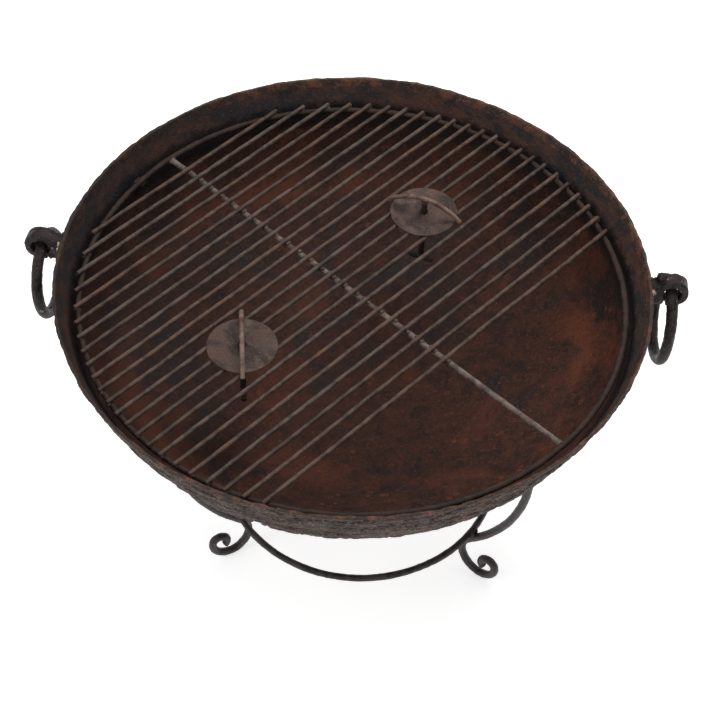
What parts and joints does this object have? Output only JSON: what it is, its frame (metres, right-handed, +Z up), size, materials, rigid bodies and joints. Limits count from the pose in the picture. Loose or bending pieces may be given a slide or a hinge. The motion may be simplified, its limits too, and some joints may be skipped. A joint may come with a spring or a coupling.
{
  "type": "fire pit with grate",
  "caption": "Wide shallow iron fire bowl with hanging ring handles on a scroll-footed rod stand, with a lift-out bar grate and twist-in grate lifters.",
  "frame": {"origin": "on the floor under the bowl's centre", "axes": "+Z up, +X from the left ring handle to the right one, -Y is the front"},
  "size_m": [0.8986, 0.799, 0.5309],
  "materials": {
    "bowl_iron": "rusted dark brown iron with orange and blue-black patches",
    "forged_handle": "blackened forged iron",
    "grate_bar": "warm grey-brown heat-worn rod",
    "grate_frame": "tan-brown rusted rod",
    "guard_plate": "worn plate, smooth grey-brown",
    "lifter_rod": "light coppery brown worn rod",
    "stand_rod": "dark grey-brown rod with a soft sheen"
  },
  "bodies": {
    "stand": {"stand_top_ring": "stand_rod", "stand_lower_hoop": "stand_rod", "stand_leg_1": "stand_rod", "stand_leg_2": "stand_rod", "stand_leg_3": "stand_rod"},
    "bowl": {"bowl_shell": "bowl_iron", "eye_left": "forged_handle", "eye_right": "forged_handle", "grate_lug_1": "bowl_iron", "grate_lug_2": "bowl_iron", "grate_lug_3": "bowl_iron"},
    "handle_left": {"ring_left": "forged_handle"},
    "handle_right": {"ring_right": "forged_handle"},
    "grate": {"grate_ring": "grate_frame", "grate_crossbar": "grate_frame", "grate_bar_01": "grate_bar", "grate_bar_02": "grate_bar", "grate_bar_03": "grate_bar", "grate_bar_04": "grate_bar", "grate_bar_05": "grate_bar", "grate_bar_06": "grate_bar", "grate_bar_07": "grate_bar", "grate_bar_08": "grate_bar", "grate_bar_09": "grate_bar", "grate_bar_10": "grate_bar", "grate_bar_11": "grate_bar", "grate_bar_12": "grate_bar", "grate_bar_13": "grate_bar", "grate_bar_14": "grate_bar", "grate_bar_15": "grate_bar", "grate_bar_16": "grate_bar", "grate_bar_17": "grate_bar", "grate_bar_18": "grate_bar", "grate_bar_19": "grate_bar", "grate_bar_20": "grate_bar", "grate_bar_21": "grate_bar", "grate_bar_22": "grate_bar", "grate_bar_23": "grate_bar"},
    "front_guard": {"front_lifter_guard": "guard_plate"},
    "front_lifter": {"front_lifter_grip": "lifter_rod", "front_lifter_stem": "lifter_rod", "front_lifter_toggle": "lifter_rod"},
    "rear_guard": {"rear_lifter_guard": "guard_plate"},
    "rear_lifter": {"rear_lifter_grip": "lifter_rod", "rear_lifter_stem": "lifter_rod", "rear_lifter_toggle": "lifter_rod"}
  },
  "joints": [
    {"name": "bowl_lift", "type": "slide", "parent": "stand", "child": "bowl", "axis": [0, 0, 1], "range_m": [0, 0.3]},
    {"name": "ring_right_swing", "type": "hinge", "parent": "bowl", "child": "handle_right", "pos_m": [0.42466, 0.03796, 0.48093], "axis": [0.0889, -0.996, -0.0025], "range_deg": [-29, 222]},
    {"name": "ring_left_swing", "type": "hinge", "parent": "bowl", "child": "handle_left", "pos_m": [-0.42661, 0.02458, 0.50471], "axis": [0.0575, 0.9983, -0.0016], "range_deg": [-29, 222]},
    {"name": "grate_lift", "type": "slide", "parent": "bowl", "child": "grate", "axis": [0.0279, 0, 0.9996], "range_m": [0, 0.3]},
    {"name": "front_lifter_raise", "type": "slide", "parent": "grate", "child": "front_guard", "axis": [0.0279, 0, 0.9996], "range_m": [0, 0.079]},
    {"name": "front_lifter_turn", "type": "hinge", "parent": "front_guard", "child": "front_lifter", "pos_m": [-0.13555, -0.11699, 0.48903], "axis": [0.0279, 0, 0.9996], "continuous": true},
    {"name": "rear_lifter_raise", "type": "slide", "parent": "grate", "child": "rear_guard", "axis": [0.0279, 0, 0.9996], "range_m": [0, 0.079]},
    {"name": "rear_lifter_turn", "type": "hinge", "parent": "rear_guard", "child": "rear_lifter", "pos_m": [0.08309, 0.15701, 0.48292], "axis": [0.0279, 0, 0.9996], "continuous": true}
  ]
}
